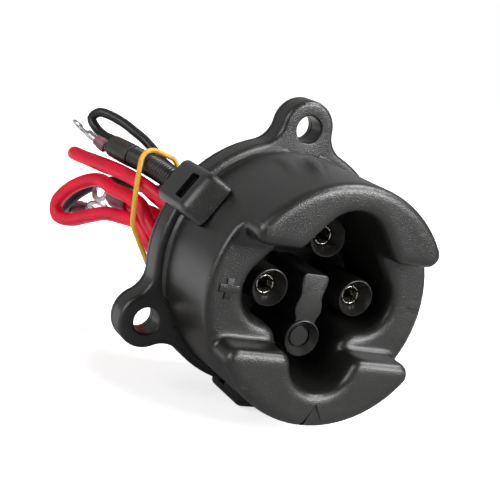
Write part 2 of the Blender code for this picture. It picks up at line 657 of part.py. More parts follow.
red_end, red_way = Vector(red_line[-1]), Vector(red_line[-1] - red_line[-2]).normalized()
terminal("ring_terminal_red", red_end, red_way, RED_R, (-0.64, -0.30, 0.19))
heat_shrink("terminal_sleeve_red", red_end, red_way, RED_R + SHRINK_FIT, SHRINK_OVER,
            BARREL_L * 0.7)
signal_end = Vector(signal_line[-1])
signal_way = Vector(signal_line[-1] - signal_line[-2]).normalized()
terminal("ring_terminal_signal", signal_end, signal_way, THIN_R, (0.4, 0.3, 0.85), BARREL_L * 0.7)
heat_shrink("terminal_sleeve_signal", signal_end, signal_way, THIN_R + SHRINK_FIT,
            SHRINK_OVER * 0.3, BARREL_L * 0.5)
sleeve_end = sleeve_start + way * (SLEEVE_L + GAP)
black_start = sleeve_end - Vector((1.43, 0.2, 0.95)) * MM
black_way = Vector((-6.5, 10.6, 3.6)).normalized()
terminal("ring_terminal_black", black_start, black_way, THIN_R, (0.5, 0.2, 0.9), BARREL_L * 1.4)
heat_shrink("terminal_sleeve_black", black_start, black_way, BARREL_SHARE * THIN_R + GAP, -2 * GAP,
            BARREL_L * 0.75)

# Grommet with one hole for the sheath and one for the red wire
wall_in, wall_out = SHELL_DEPTH - SHELL_WALL - GAP, SHELL_DEPTH + GAP
grommet = turned("cable_grommet", [
    (0, wall_in - GROMMET_LIP_L), (GROMMET_R + GROMMET_LIP, wall_in - GROMMET_LIP_L),
    (GROMMET_R + GROMMET_LIP, wall_in), (GROMMET_R, wall_in), (GROMMET_R, wall_out),
    (GROMMET_R + GROMMET_LIP, wall_out), (GROMMET_R, SHELL_DEPTH + GROMMET_OUT_L),
    (0, SHELL_DEPTH + GROMMET_OUT_L),
], 36, rubber, part, (OUTLET_X, OUTLET_Z))
for name, (x, z), r in (("sheath", (sheath_line[0][0], sheath_line[0][2]), SHEATH_R),
                        ("red", (RED_OUT_X, RED_OUT_Z), RED_R)):
    hole = rod(f"grommet_{name}_hole", x, z, r + GROMMET_FIT, 0, 2.5 * SHELL_DEPTH, 24)
    combine(grommet, hole, "DIFFERENCE")

# Rubber band, stretched round everything that crosses its plane
band_at = Vector((-19.0, OUT + 19.0, 6.0)) * MM
band_n = Vector((-0.28, 1.0, -0.45)).normalized()
band_x = Vector((1, 0.28, 0)).normalized()
band_z = band_x.cross(band_n)
held = []
for line, r in ((red_line, RED_R), (signal_line, THIN_R), (sheath_line, SHEATH_R)):
    height = (line - np.array(band_at)) @ np.array(band_n)
    for i in range(len(line) - 1):
        if height[i] * height[i + 1] <= 0:
            s = height[i] / (height[i] - height[i + 1])
            q = line[i] + s * (line[i + 1] - line[i]) - np.array(band_at)
            way = line[i + 1] - line[i]
            # a wire that crosses the band's plane at a slant takes more room in it
            reach = r * 1.06 * np.linalg.norm(way) / abs(way @ np.array(band_n)) + GAP + BAND_R
            held += [(q @ np.array(band_x) + reach * math.cos(a), q @ np.array(band_z) + reach * math.sin(a))
                     for a in np.linspace(0, 2 * math.pi, 48, endpoint=False)]
held.sort()


def half_hull(points):
    hull = []
    for p in points:
        while len(hull) > 1 and ((hull[-1][0] - hull[-2][0]) * (p[1] - hull[-2][1])
                                 - (hull[-1][1] - hull[-2][1]) * (p[0] - hull[-2][0])) <= 0:
            hull.pop()
        hull.append(p)
    return hull[:-1]


hull = np.array(half_hull(held) + half_hull(held[::-1]))
hull = np.vstack([hull, hull[:1]])
run = np.concatenate([[0], np.cumsum(np.linalg.norm(np.diff(hull, axis=0), axis=1))])
at = np.linspace(0, run[-1], 61)[:-1]
loop = [Vector(band_at) + band_x * float(np.interp(s, run, hull[:, 0]))
        + band_z * float(np.interp(s, run, hull[:, 1])) for s in at]
tube("rubber_band", loop, BAND_R, band_rubber, True)

for obj in part.objects:
    if obj.type == "MESH":
        shade(obj)
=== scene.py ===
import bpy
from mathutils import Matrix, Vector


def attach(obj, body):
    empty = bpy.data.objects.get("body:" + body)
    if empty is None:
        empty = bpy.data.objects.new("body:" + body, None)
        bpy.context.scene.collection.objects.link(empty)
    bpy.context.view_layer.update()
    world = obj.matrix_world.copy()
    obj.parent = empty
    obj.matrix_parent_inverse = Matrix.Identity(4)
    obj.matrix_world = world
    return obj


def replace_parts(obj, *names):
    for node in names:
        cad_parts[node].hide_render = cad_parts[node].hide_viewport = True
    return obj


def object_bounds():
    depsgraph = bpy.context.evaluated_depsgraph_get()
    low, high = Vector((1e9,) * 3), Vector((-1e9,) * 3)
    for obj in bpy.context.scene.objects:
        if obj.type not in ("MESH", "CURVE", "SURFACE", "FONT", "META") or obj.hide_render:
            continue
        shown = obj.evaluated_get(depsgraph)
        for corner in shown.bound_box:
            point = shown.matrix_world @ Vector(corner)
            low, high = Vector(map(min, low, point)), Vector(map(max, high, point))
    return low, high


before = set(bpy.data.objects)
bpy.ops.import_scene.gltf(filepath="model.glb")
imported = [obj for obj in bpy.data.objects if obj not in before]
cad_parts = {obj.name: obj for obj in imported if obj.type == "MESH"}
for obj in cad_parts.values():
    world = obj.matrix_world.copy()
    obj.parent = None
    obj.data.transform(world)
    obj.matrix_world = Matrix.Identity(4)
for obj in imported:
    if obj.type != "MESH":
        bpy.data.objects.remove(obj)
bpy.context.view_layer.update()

import math

import bmesh
import bpy
import numpy as np
from mathutils import Matrix, Vector

MM = 0.001

# The camera stands in front of the port, to its left and a little above it.
lens = bpy.data.cameras.new("camera")
lens.sensor_fit = "HORIZONTAL"
lens.sensor_width = 36
lens.lens = 85.346
lens.clip_start, lens.clip_end = 0.01, 20
camera = bpy.data.objects.new("camera", lens)
bpy.context.scene.collection.objects.link(camera)
camera.matrix_world = Matrix((
    (0.8734315, -0.4239665, 0.2395198),
    (-0.1237403, 0.2824893, 0.9512561),
    (-0.4709625, -0.8604953, 0.1942733),
)).transposed().to_4x4()
camera.matrix_world.translation = (-0.14449, -0.25653, 0.05973)
bpy.context.scene.camera = camera


# Insulated wires: a thick red one and a thin black one, folded up into a hank.
# Copper strands in a soft extruded PVC skin, smooth and half glossy, handled
# enough to have picked up a little dust.
class Value:
    """The output of a shader node; + and * on it add Math nodes."""

    def __init__(self, finish, socket):
        self.finish, self.socket = finish, socket

    def maths(self, operation, a, b):
        return self.finish.maths(operation, a, b)

    def __add__(self, other):
        return self.maths("ADD", self, other)

    def __mul__(self, other):
        return self.maths("MULTIPLY", self, other)

    __radd__ = __add__
    __rmul__ = __mul__


class Finish:
    """A material; node() adds a shader node and set() fills in the surface."""

    def __init__(self, name):
        self.material = bpy.data.materials.new(name)
        self.material.use_nodes = True
        self.tree = self.material.node_tree
        self.surface = self.tree.nodes["Principled BSDF"]

    def join(self, value, socket):
        if isinstance(value, Value):
            self.tree.links.new(value.socket, socket)
        else:
            socket.default_value = value

    def node(self, kind, settings=None, sockets=None, out=0):
        made = self.tree.nodes.new("ShaderNode" + kind)
        for key, value in (settings or {}).items():
            if key == "stops":
                for stop, (at, grey) in zip(made.color_ramp.elements, value):
                    stop.position, stop.color = at, (grey, grey, grey, 1)
            else:
                setattr(made, key, value)
        for key, value in (sockets or {}).items():
            self.join(value, made.inputs[key])
        return Value(self, made.outputs[out])

    def set(self, **sockets):
        for key, value in sockets.items():
            self.join(value, self.surface.inputs[key.replace("_", " ")])
        return self.material

    def maths(self, operation, a, b=0.0):
        return self.node("Math", {"operation": operation}, {0: a, 1: b})

    def noise(self, size, detail=2.0, stretch=(1, 1, 1)):
        """Noise with features of about that size in metres, 0 to 1."""
        place = self.node("TexCoord", out="Object")
        place = self.node("Mapping", None, {"Vector": place, "Scale": [s / size for s in stretch]})
        return self.node("TexNoise", None, {"Vector": place, "Scale": 1.0, "Detail": detail})

    def ramp(self, value, low, high):
        """0 below low and 1 above high."""
        return self.node("ValToRGB", {"stops": ((low, 0.0), (high, 1.0))}, {"Fac": value})

    def blend(self, mask, a, b):
        """Colour a where the mask is 0 and b where it is 1."""
        return self.node("Mix", {"data_type": "RGBA"}, {0: mask, 6: a, 7: b}, out=2)

    def bump(self, height, depth, strength=1.0):
        return self.node("Bump", None, {"Height": height, "Distance": depth, "Strength": strength})


def skin(name, colour, dust, rough):
    """Extruded insulation: waxy gloss, faint unevenness and dust."""
    f = Finish(name)
    cloud, specks = f.noise(0.006, 3.0), f.ramp(f.noise(0.0011, 4.0), 0.62, 0.8)
    shade = tuple(channel * 0.72 for channel in colour[:3]) + (1,)
    return f.set(
        Base_Color=f.blend(specks * 0.35, f.blend(f.ramp(cloud, 0.3, 0.75), shade, colour), dust),
        Roughness=cloud * 0.14 + specks * 0.2 + (rough - 0.07),
        Normal=f.bump(f.noise(0.0016, 3.0) + cloud * 2.0, 0.00006, 0.6),
        Specular_IOR_Level=0.35,
    )


def smooth_route(points, step):
    """A smooth curve through points in mm, read at even steps in metres."""
    p = np.array(points, float) * MM
    p = np.vstack([2 * p[0] - p[1], p, 2 * p[-1] - p[-2]])
    t = np.concatenate([[0], np.cumsum(np.sqrt(np.linalg.norm(np.diff(p, axis=0), axis=1)))])
    fine = []
    for i in range(1, len(p) - 2):
        for s in np.linspace(t[i], t[i + 1], 24, endpoint=False):
            a = [(t[j + 1] - s) / (t[j + 1] - t[j]) * p[j] + (s - t[j]) / (t[j + 1] - t[j]) * p[j + 1]
                 for j in (i - 1, i, i + 1)]
            b = [(t[j + 1] - s) / (t[j + 1] - t[j - 1]) * a[j - i]
                 + (s - t[j - 1]) / (t[j + 1] - t[j - 1]) * a[j - i + 1] for j in (i, i + 1)]
            fine.append((t[i + 1] - s) / (t[i + 1] - t[i]) * b[0] + (s - t[i]) / (t[i + 1] - t[i]) * b[1])
    fine = np.array(fine + [p[-2]])
    run = np.concatenate([[0], np.cumsum(np.linalg.norm(np.diff(fine, axis=0), axis=1))])
    at = np.linspace(0, run[-1], max(3, int(round(run[-1] / step)) + 1))
    return np.stack([np.interp(at, run, fine[:, k]) for k in range(3)], axis=1)


def add_piece(name, data, finish, *nodes):
    """Puts a finished piece in the scene, in the place of these CAD nodes."""
    data.materials.clear()
    data.materials.append(finish)
    obj = bpy.data.objects.new(name, data)
    bpy.context.scene.collection.objects.link(obj)
    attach(obj, "root")
    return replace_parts(obj, *nodes)


def add_wire(name, line, radius, finish, node, cyclic=False):
    curve = bpy.data.curves.new(name, "CURVE")
    curve.dimensions = "3D"
    curve.bevel_depth = radius
    curve.bevel_resolution = 5
    curve.use_fill_caps = not cyclic
    spline = curve.splines.new("POLY")
    spline.points.add(len(line) - 1)
    for point, place in zip(spline.points, line):
        point.co = (*place, 1)
    spline.use_cyclic_u = cyclic
    return add_piece(name, curve, finish, node)


RED_R, THIN_R = 2.0 * MM, 1.35 * MM
# the sockets' places across the port, and where a lead leaves its barrel
SOCKET_X, SOCKET_TOP, TAIL = 11.77, 13.39, 4.85
red_route = [
    (-SOCKET_X, TAIL, 0), (-SOCKET_X, TAIL + 3.0, 0), (-11.4, 11.0, 0.4), (-11.2, 13.5, 0.5),
    (-11.2, 16.2, 0.5), (-11.2, 19.2, 0.5), (-12.6, 23.5, 2.0), (-16.2, 28.5, 4.8), (-19.4, 33, 6.6),
    (-21.6, 38, 7.6),
    (-23.8, 43.5, 8.2), (-25.9, 50, 8.3), (-27.8, 57, 8.0), (-29.4, 62, 7.8), (-30.9, 66, 7.8),
    (-30.0, 69.6, 7.3), (-26.4, 69.4, 6.5), (-23.0, 65, 6.0), (-20.6, 57.5, 6.3), (-18.7, 50, 6.3),
    (-17.4, 44, 5.8), (-16.6, 38, 4.8), (-14.0, 33.5, 3.0), (-12.0, 29.5, 0.0), (-12.9, 26.4, -3.4),
    (-16.2, 26.8, -4.8), (-19.0, 31, -2.0), (-20.4, 36, 1.6), (-21.7, 42, 2.4), (-23.6, 50, 2.3),
    (-25.4, 58, 2.8), (-28.4, 63.4, 0.3), (-31.0, 67.8, -4.0), (-32.2, 69.9, -8.2), (-31.7, 68.4, -11.3),
    (-29.4, 63.5, -11.0), (-26.9, 56, -7.6), (-24.6, 50, -4.9), (-22.0, 44, -3.9), (-19.6, 38, -3.7),
    (-17.4, 33, -7.0), (-14.6, 28.8, -10.2), (-10.6, 27.4, -9.2), (-9.4, 30.5, -6.0), (-11.8, 35, -2.6),
    (-14.2, 39.5, -1.0), (-16.2, 45, -1.2), (-18.0, 50.5, -1.3), (-19.4, 53.6, -1.2),
]
signal_route = [
    (-23.2, 55.9, 14.5), (-23.9, 58.5, 14.8), (-25.2, 62.0, 15.0), (-26.7, 65.8, 16.2), (-27.9, 68.2, 18.5),
    (-26.8, 66.1, 20.8), (-24.5, 63.1, 20.9), (-21.4, 59.1, 19.9), (-19.2, 55.1, 18.6), (-17.3, 51.1, 17.3),
    (-15.4, 47.1, 15.3), (-13.9, 43.1, 13.4), (-12.2, 37, 12.2), (-9.6, 31, 11.6), (-6.2, 27.2, 9.6),
    (-5.0, 28.2, 6.0), (-7.2, 33.0, 5.0), (-10.8, 37.5, 6.8), (-12.4, 42, 6.0), (-13.0, 47, 4.4),
    (-14.6, 52, 3.6), (-17.0, 58, 3.0), (-20.0, 64.0, 1.9), (-22.2, 66.7, 0.0), (-23.9, 69.2, -2.3),
    (-25.5, 71.5, -4.8), (-26.9, 73.3, -7.6), (-27.6, 75.6, -10.4), (-26.4, 78.4, -11.4),
    (-24.2, 78.6, -10.8), (-23.2, 76.2, -10.0),
]
red_line = smooth_route(red_route, 0.9 * MM)
signal_line = smooth_route(signal_route, 0.8 * MM)
red_skin = skin("red_insulation", (0.86, 0.0005, 0.036, 1), (0.74, 0.06, 0.11, 1), 0.42)
black_skin = skin("black_insulation", (0.012, 0.012, 0.014, 1), (0.10, 0.10, 0.11, 1), 0.36)
red_wire = add_wire("wire_red", red_line, RED_R, red_skin, "red_wire")
signal_wire = add_wire("wire_signal", signal_line, THIN_R, black_skin, "signal_wire")

# Two short black leads from the top and right sockets to the sheath. They
# never leave the back shell.
black_lead_route = [
    (0, TAIL, SOCKET_TOP), (0, TAIL + 1.8, SOCKET_TOP), (-1.6, 8.2, 12.8), (-5.4, 9.0, 10.6),
    (-8.2, 9.6, 8.8), (-8.7, 10.9, 8.4), (-8.7, 12.5, 8.4),
]
signal_lead_route = [
    (SOCKET_X, TAIL, 0), (SOCKET_X, TAIL + 1.8, 0), (10.2, 8.6, 0.6), (4.5, 9.4, 2.4), (-4.0, 9.2, 4.6),
    (-9.2, 9.6, 5.6), (-10.9, 10.9, 6.1), (-10.9, 12.5, 6.2),
]
for name, route in (("black_lead", black_lead_route), ("signal_lead", signal_lead_route)):
    add_wire("wire_" + name, smooth_route(route, 0.5 * MM), THIN_R, black_skin, name)

# Corrugated sheath round the two black wires: thin black PVC tube, ribbed so
# that it bends. A plain sleeve of the same tube is glued on over its end.
SHEATH_R, RIB_PITCH, RIB_DEPTH, RIB_STEPS = 3.1 * MM, 0.9 * MM, 0.28 * MM, 6
sheath_route = [
    (-9.8, 12.9, 7.3), (-9.8, 16.0, 7.3), (-9.8, 19.8, 7.3), (-11.5, 24.5, 8.7), (-15.0, 30.5, 10.8),
    (-18.0, 37.5, 12.1), (-20.2, 43.5, 12.7), (-21.3, 46.4, 12.9),
]


def along(start, direction):
    """Local Y runs along the direction, with Z as near up as it goes."""
    y = Vector(direction).normalized()
    x = y.cross(Vector((0, 0, 1))).normalized()
    place = Matrix((x, y, x.cross(y))).transposed().to_4x4()
    place.translation = Vector(start)
    return place


def as_mesh(bm, name="blank"):
    """The bmesh as mesh data; the bmesh itself is freed."""
    mesh = bpy.data.meshes.new(name)
    bm.to_mesh(mesh)
    bm.free()
    return mesh


def finished_mesh(name, bm, sharp=35):
    """Smooth mesh data, with the edges over that many degrees kept sharp."""
    mesh = as_mesh(bm, name)
    mesh.shade_smooth()
    mesh.set_sharp_from_angle(angle=math.radians(sharp))
    return mesh


def mottled(name, patches, span, colours, rough, grain, bump, metallic=0.0):
    """A finish in two shades. patches and grain are for noise(), span for ramp()
    and bump for bump(); rough is what the patches add to it, and its least."""
    f = Finish(name)
    cloud = f.noise(*patches)
    a, b = [(*colour, 1) for colour in colours]
    return f.set(
        Base_Color=f.blend(f.ramp(cloud, *span), a, b),
        Metallic=metallic,
        Roughness=cloud * rough[0] + rough[1],
        Normal=f.bump(f.noise(*grain), *bump),
    )


sheath_line = smooth_route(sheath_route, RIB_PITCH / RIB_STEPS)
bm = bmesh.new()
ring = []
for i, place in enumerate(sheath_line):
    way = sheath_line[min(i + 1, len(sheath_line) - 1)] - sheath_line[max(i - 1, 0)]
    swell = SHEATH_R - RIB_DEPTH * (0.5 - 0.5 * math.cos(2 * math.pi * i / RIB_STEPS)) ** 0.7
    made = bmesh.ops.create_circle(
        bm, segments=28, radius=swell,
        matrix=along(place, way) @ Matrix.Rotation(math.pi / 2, 4, "X"))["verts"]
    edges = list({e for v in made for e in v.link_edges})
    if ring:
        bmesh.ops.bridge_loops(bm, edges=ring + edges)
    ring = edges
bmesh.ops.holes_fill(bm, edges=bm.edges, sides=0)
bmesh.ops.recalc_face_normals(bm, faces=bm.faces)
ribbed = mottled("ribbed_tube", (0.004, 4.0), (0.35, 0.8), ((0.012, 0.011, 0.010), (0.045, 0.040, 0.036)),
                 (0.2, 0.28), (0.0007, 3.0), (0.00004, 0.5))
sheath = add_piece("sheath_ribbed", finished_mesh("sheath_ribbed", bm, 80), ribbed, "wire_sheath")


# Small turned parts: a profile in a lathe's half plane, spun about local Y.
# Here it is the smooth sleeve glued on over the sheath's end.
def bend(x, y, r, a, b, n=5):
    """Points on a round of radius r, between two angles in degrees."""
    return [(x + r * math.cos(math.radians(a + (b - a) * i / n)),
             y + r * math.sin(math.radians(a + (b - a) * i / n))) for i in range(n + 1)]


def turned(profile, steps=48, place=None):
    """A closed turned solid from (radius, y) points in mm, axis first and last."""
    bm = bmesh.new()
    verts = [bm.verts.new((r * MM, y * MM, 0)) for r, y in profile]
    edges = [bm.edges.new(pair) for pair in zip(verts, verts[1:])]
    bmesh.ops.spin(bm, geom=verts + edges, cent=(0, 0, 0), axis=(0, 1, 0), dvec=(0, 0, 0),
                   angle=2 * math.pi, steps=steps, use_merge=True, use_duplicate=False)
    bmesh.ops.remove_doubles(bm, verts=bm.verts, dist=2e-6)
    bmesh.ops.recalc_face_normals(bm, faces=bm.faces)
    if place is not None:
        bmesh.ops.transform(bm, matrix=place, verts=bm.verts)
    return bm


def ending(route, step):
    """A route's last point, and the way it goes there."""
    line = smooth_route(route, step)
    return Vector(line[-1]), Vector(line[-1] - line[-2]).normalized()


GAP = 0.3 * MM
sheath_end, way = ending(sheath_route, 1.6 * SHEATH_R)
sleeve_start = sheath_end + way * GAP
sleeve = mottled("glued_sleeve", (0.003, 4.0), (0.3, 0.75), ((0.010, 0.008, 0.007), (0.032, 0.022, 0.018)),
                 (0.25, 0.3), (0.0012, 3.0), (0.00008, 0.5))
bm = turned([(0, 0)] + bend(2.9, 0.3, 0.3, -90, 0) + [(3.2, 4.0), (3.15, 6.5)] + bend(2.6, 8.5, 0.5, 0, 90)
            + [(0, 9.0)], 40, along(sleeve_start, way))
end_sleeve = add_piece("sheath_sleeve", finished_mesh("sheath_sleeve", bm), sleeve, "sheath_end_sleeve")


# Ring terminals: tinned copper, the ring stamped from 0.8 mm sheet and its tail
# rolled round the strands and crimped.
def drawn_out(bm, way):
    """The bmesh's flat faces drawn out along the way, as one closed solid."""
    lifted = bmesh.ops.extrude_face_region(bm, geom=bm.faces)["geom"]
    bmesh.ops.translate(bm, vec=way, verts=[g for g in lifted if isinstance(g, bmesh.types.BMVert)])
    bmesh.ops.recalc_face_normals(bm, faces=bm.faces)
    return bm


def slab(arcs, low, high, step=4):
    """A plate in the port's plane from arcs (x, z, r, a, b) in mm, and its rim."""
    bm = bmesh.new()
    first = last = None
    for x, z, r, a, b in arcs:
        start = bm.verts.new(((x + r * math.cos(math.radians(a))) * MM, low * MM,
                              (z + r * math.sin(math.radians(a))) * MM))
        if last:
            bm.edges.new((last, start))
        first, last = first or start, start
        if r:
            last = bmesh.ops.spin(
                bm, geom=[start], cent=(x * MM, low * MM, z * MM), axis=(0, -1, 0), dvec=(0, 0, 0),
                angle=math.radians(b - a), steps=max(1, round(abs(b - a) / step)),
                use_merge=False, use_duplicate=False)["geom_last"][0]
    bm.edges.new((last, first))
    bmesh.ops.remove_doubles(bm, verts=bm.verts, dist=2e-6)
    bmesh.ops.contextual_create(bm, geom=bm.edges)
    return drawn_out(bm, (0, (high - low) * MM, 0))


def round_rim(bm, y, width, segments=5):
    """Rounds the edges round the flat face at y, in mm."""
    edges = [e for e in bm.edges if all(abs(v.co.y - y * MM) < 1e-6 for v in e.verts)
             and any(abs(f.normal.y) < 0.5 for f in e.link_faces)]
    bmesh.ops.bevel(bm, geom=edges, offset=width * MM, segments=segments, profile=0.5,
                    affect="EDGES", material=-1)
    return bm


def blank(bm):
    """A throwaway object, for modifiers to work on."""
    obj = bpy.data.objects.new("blank", as_mesh(bm))
    bpy.context.scene.collection.objects.link(obj)
    return obj


def taken(*blanks):
    """The first blank as its modifiers leave it; all of them are removed."""
    bpy.context.view_layer.update()
    shown = blanks[0].evaluated_get(bpy.context.evaluated_depsgraph_get())
    out = bmesh.new()
    out.from_mesh(shown.to_mesh())
    for obj in blanks:
        mesh = obj.data
        bpy.data.objects.remove(obj)
        bpy.data.meshes.remove(mesh)
    return out


def joined(bm, *steps):
    """The solid after each (operation, tool) in turn."""
    made = [blank(tool) for tool in [bm] + [tool for _, tool in steps]]
    for (operation, _), tool in zip(steps, made[1:]):
        step = made[0].modifiers.new("step", "BOOLEAN")
        step.operation, step.solver, step.object = operation, "EXACT", tool
    out = taken(*made)
    bmesh.ops.remove_doubles(out, verts=out.verts, dist=1e-6)
    return out


tinned = mottled("tinned_copper", (0.0016, 4.0), (0.35, 0.8), ((0.58, 0.57, 0.56), (0.36, 0.35, 0.36)),
                 (0.3, 0.2), (0.0004, 2.0), (0.00002, 0.5), 1.0)


def ring_terminal(name, start, direction, wire_r, up, barrel, node):
    """A barrel of that length on the wire's end; the ring's plate faces up."""
    r = wire_r / MM * 0.8
    bm = turned([(0, 0.3)] + bend(r - 0.15, 0.45, 0.15, -90, 0, 3)
                + [(r, y) for y in np.linspace(0.8, barrel - 0.6, 14)]
                + bend(r - 0.3, barrel - 0.3, 0.3, 0, 90, 3) + [(0, barrel)], 32)
    for v in bm.verts:
        # two crimp dents, pressed in from the top
        for dent in (0.34, 0.68):
            near = max(0.0, 1 - ((v.co.y / MM - barrel * dent) / 0.9) ** 2)
            v.co.z -= 0.22 * MM * near * max(0.0, v.co.z / (r * MM)) ** 2
    bmesh.ops.transform(bm, matrix=along(start, direction), verts=bm.verts)
    y = Vector(direction).normalized()
    n = (Vector(up) - y * Vector(up).dot(y)).normalized()
    plane = Matrix((y.cross(n), n, y)).transposed().to_4x4()
    plane.translation = Vector(start)
    far, w, half_sheet = barrel + 2.72, wire_r / MM * 0.7, 0.4
    ring = slab([(w, barrel - 1.5, 0, 0, 0), (0, far, 3.2, -60, 240), (-w, barrel - 1.5, 0, 0, 0)],
                -half_sheet, half_sheet, 7)
    round_rim(round_rim(ring, half_sheet, 0.14, 2), -half_sheet, 0.14, 2)
    ring = joined(ring, ("DIFFERENCE", slab([(0, far, 1.8, 0, 360)], -1, 1, 8)))
    bmesh.ops.transform(ring, matrix=plane, verts=ring.verts)
    bm = joined(bm, ("UNION", ring))
    return add_piece(name, finished_mesh(name, bm), tinned, node)


red_end, red_way = ending(red_route, 2.6 * RED_R)
signal_end, signal_way = ending(signal_route, 3.0 * THIN_R)
black_start = sleeve_start + way * 9.3 * MM - Vector((1.43, 0.2, 0.95)) * MM
black_way = Vector((-6.5, 10.6, 3.6)).normalized()
red_ring = ring_terminal("ring_red", red_end, red_way, RED_R, (-0.64, -0.30, 0.19), 6.0,
                         "ring_terminal_red")
signal_ring = ring_terminal("ring_signal", signal_end, signal_way, THIN_R, (0.4, 0.3, 0.85), 4.2,
                            "ring_terminal_signal")
black_ring = ring_terminal("ring_black", black_start, black_way, THIN_R, (0.5, 0.2, 0.9), 8.4,
                           "ring_terminal_black")

# Heat-shrink sleeves, one over each crimp: thin maroon polyolefin, drawn in
# tight at both ends.
shrink = mottled("maroon_shrink", (0.0025, 3.0), (0.3, 0.75), ((0.13, 0.035, 0.055), (0.24, 0.085, 0.11)),
                 (0.2, 0.32), (0.0009, 2.0), (0.00005, 0.6))


def shrink_sleeve(name, start, direction, inner, before, after, tight, node):
    """Tube round the crimp; its far end is drawn in to the radius tight."""
    outer = inner + 0.4
    profile = [(inner, -before), (inner, after - 1.4), (tight, after - 0.5), (tight, after),
               (tight + 0.35, after), (tight + 0.35, after - 0.6), (outer, after - 1.6),
               (outer, after - 2.6), (outer, -before + 0.25), (outer - 0.2, -before), (inner, -before)]
    bm = turned(profile, 32, along(start, direction))
    return add_piece(name, finished_mesh(name, bm), shrink, node)


red_sleeve = shrink_sleeve("shrink_red", red_end, red_way, 2.4, 4.0, 4.2, 1.75, "terminal_sleeve_red")
signal_sleeve = shrink_sleeve("shrink_signal", signal_end, signal_way, 1.75, 1.2, 3.0, 1.25,
                              "terminal_sleeve_signal")
black_sleeve = shrink_sleeve("shrink_black", black_start, black_way, 1.38, -0.6, 4.5, 1.2,
                             "terminal_sleeve_black")

# Rubber band round the hank: plain yellow ochre rubber, stretched into straight
# runs between the wires that it presses on.
band_at = Vector((-19.0, 35.0, 6.0)) * MM
band_n = Vector((-0.28, 1.0, -0.45)).normalized()
band_x = Vector((1, 0.28, 0)).normalized()
band_z = band_x.cross(band_n)
BAND_R = 0.7 * MM


def half_hull(points):
    """One side of the line stretched round the points, which are in order."""
    hull = []
    for p in points:
        while len(hull) > 1 and ((hull[-1][0] - hull[-2][0]) * (p[1] - hull[-2][1])
                                 - (hull[-1][1] - hull[-2][1]) * (p[0] - hull[-2][0])) <= 0:
            hull.pop()
        hull.append(p)
    return hull[:-1]


# the circles that the wires fill where they cross the band's plane, a little loose
held, slack = [], 1.06
for line, r in ((red_line, RED_R), (signal_line, THIN_R), (sheath_line, SHEATH_R)):
    height = (line - np.array(band_at)) @ np.array(band_n)
    for i in np.nonzero(height[:-1] * height[1:] <= 0)[0]:
        q = line[i] - np.array(band_at)
        step = line[i + 1] - line[i]
        # a wire that crosses the band's plane at a slant takes more room in it
        reach = r * slack * np.linalg.norm(step) / abs(step @ np.array(band_n)) + GAP + BAND_R
        held += [(q @ np.array(band_x) + reach * math.cos(a), q @ np.array(band_z) + reach * math.sin(a))
                 for a in np.linspace(0, 2 * math.pi, 48, endpoint=False)]
held.sort()
hull = half_hull(held) + half_hull(held[::-1])
hull = np.array(hull + hull[:1])
run = np.concatenate([[0], np.cumsum(np.linalg.norm(np.diff(hull, axis=0), axis=1))])
loop = [band_at + band_x * float(np.interp(s, run, hull[:, 0]))
        + band_z * float(np.interp(s, run, hull[:, 1])) for s in np.linspace(0, run[-1], 161)[:-1]]
ochre = mottled("band_rubber", (0.003, 3.0), (0.3, 0.7), ((0.70, 0.34, 0.018), (0.86, 0.48, 0.05)),
                (0.2, 0.42), (0.0005, 2.0), (0.00003, 0.6))
add_wire("band", loop, BAND_R, ochre, "rubber_band", True)


# Front housing: one moulding in black glass-filled nylon, with the fine grain
# of a spark-eroded mould. Flange with three ears, round body, two raised lips,
# and the keyed cavity with its four posts.
def around(c, p):
    """The angle of p round c, in degrees."""
    return math.degrees(math.atan2(p[1] - c[1], p[0] - c[0]))


def neck(c1, r1, c2, r2, r):
    """Centre of the inward round that joins two circles, outside them."""
    dx, dz = c2[0] - c1[0], c2[1] - c1[1]
    d = math.hypot(dx, dz)
    a = ((r1 + r) ** 2 - (r2 + r) ** 2 + d * d) / (2 * d)
    h = math.sqrt(max((r1 + r) ** 2 - a * a, 0.0))
    return (c1[0] + (a * dx + h * dz) / d, c1[1] + (a * dz - h * dx) / d)


def mirrored(arcs):
    """The arcs, then their mirror image across X = 0 back to the start."""
    return arcs + [(-x, z, r, 180 - b, 180 - a) for x, z, r, a, b in reversed(arcs)]


# depths along Y, in mm: the flange's back and front, the land round the cavity, the
# lips' tops, the cavity's floor, the posts' tops and the sockets' rims in them
BACK, FLANGE, LAND, LIP, FLOOR, POST, RIM = -1.75, -6.9, -31.4, -39.8, -8.9, -27.84, -25.04
BODY_R, LIP_R, EAR_HOLE_R, POST_R = 29.14, 28.98, 3.33, 4.62
EAR_AT = 35                     # the ears' holes, out from the axis
EARS = [(deg, EAR_AT * math.cos(math.radians(deg)), EAR_AT * math.sin(math.radians(deg)))
        for deg in (90, 210, 330)]
LATCHES = (30, 150, 270)
POSTS = {"left": (-SOCKET_X, 0.0), "top": (0.0, SOCKET_TOP), "right": (SOCKET_X, 0.0)}
BLIND_Z = -11.31                # the blind post
BAY_Z, BAY_R = -12.4, 8.22      # the wide bay round it


def flange_arcs():
    """Round plate with three ears, blended in by inward rounds."""
    arcs, r, ear, join = [], 31.7, 7.0, 6.5
    for deg, ex, ez in EARS:
        before = neck((0, 0), r, (ex, ez), ear, join)
        half = (deg - around((0, 0), before)) % 360
        d, v = math.hypot(*before), math.radians(deg + half)
        after = (d * math.cos(v), d * math.sin(v))
        a, e = around(before, (0, 0)) % 360, around(before, (ex, ez)) % 360
        arcs.append((*before, join, a, a - (a - e) % 360))
        e1, e2 = around((ex, ez), before), around((ex, ez), after)
        arcs.append((ex, ez, ear, e1, e1 + (e2 - e1) % 360))
        a, e = around(after, (ex, ez)) % 360, around(after, (0, 0)) % 360
        arcs.append((*after, join, a, a - (a - e) % 360))
        arcs.append((0, 0, r, deg + half, deg + 120 - half))
    return arcs


